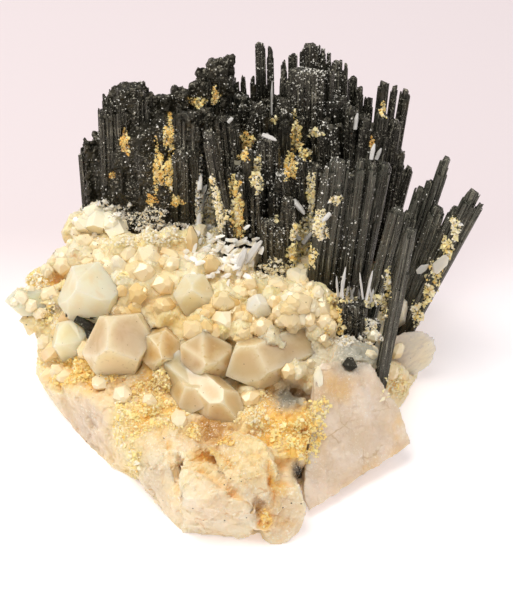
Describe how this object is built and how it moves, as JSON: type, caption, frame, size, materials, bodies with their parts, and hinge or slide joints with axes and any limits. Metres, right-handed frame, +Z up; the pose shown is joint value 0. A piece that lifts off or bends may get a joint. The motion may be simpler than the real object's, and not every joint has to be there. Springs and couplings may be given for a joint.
{
  "type": "quartz and huebnerite mineral specimen",
  "caption": "Cabinet specimen: milky iron-stained quartz with crystals in front and sprays of black ridged huebnerite columns.",
  "frame": {"origin": "a point on the flat cut underneath, in the middle of the specimen's width as it is seen from the front", "axes": "+Z up, away from the flat cut; -Y towards the front, where the quartz crystals are; +X to the right, towards the big slab and the leaning sprays"},
  "size_m": [0.0905, 0.0856, 0.0586],
  "materials": {
    "huebnerite_black": "black, submetallic crystal faces with fine lengthwise ridges",
    "huebnerite_satin": "dark grey satin crystal faces",
    "quartz_iron_stained": "massive milky quartz stained yellow to orange by iron",
    "quartz_milky": "milky quartz with vitreous crystal faces",
    "quartz_tan": "tan iron-stained quartz with vitreous faces",
    "quartz_white": "white frosted quartz",
    "quartz_pinkish_white": "pinkish-white quartz with a sparkling face"
  },
  "bodies": {
    "root": {"huebnerite_fan": "huebnerite_black", "huebnerite_left_mass": "huebnerite_black", "huebnerite_front_right": "huebnerite_black", "huebnerite_front_short": "huebnerite_black", "huebnerite_spray_middle": "huebnerite_black", "huebnerite_spray_outer": "huebnerite_black", "huebnerite_lower_cluster": "huebnerite_black", "huebnerite_inclusion": "huebnerite_black", "huebnerite_blade_long": "huebnerite_satin", "huebnerite_blade_grooved": "huebnerite_satin", "quartz_matrix": "quartz_iron_stained", "quartz_crystal_large": "quartz_milky", "quartz_crystal_upper_left": "quartz_milky", "quartz_crystal_lower_left": "quartz_milky", "quartz_crystal_upper_middle": "quartz_milky", "quartz_crystal_middle": "quartz_milky", "quartz_crystal_pair": "quartz_milky", "quartz_crystal_long": "quartz_milky", "quartz_crystal_tan": "quartz_tan", "quartz_crystal_left_tip": "quartz_white", "quartz_crystal_small_white": "quartz_white", "quartz_tablet_upper": "quartz_white", "quartz_tablet_lower": "quartz_white", "quartz_slab": "quartz_pinkish_white", "quartz_block_right": "quartz_pinkish_white", "quartz_column_right": "quartz_pinkish_white"}
  },
  "joints": []
}
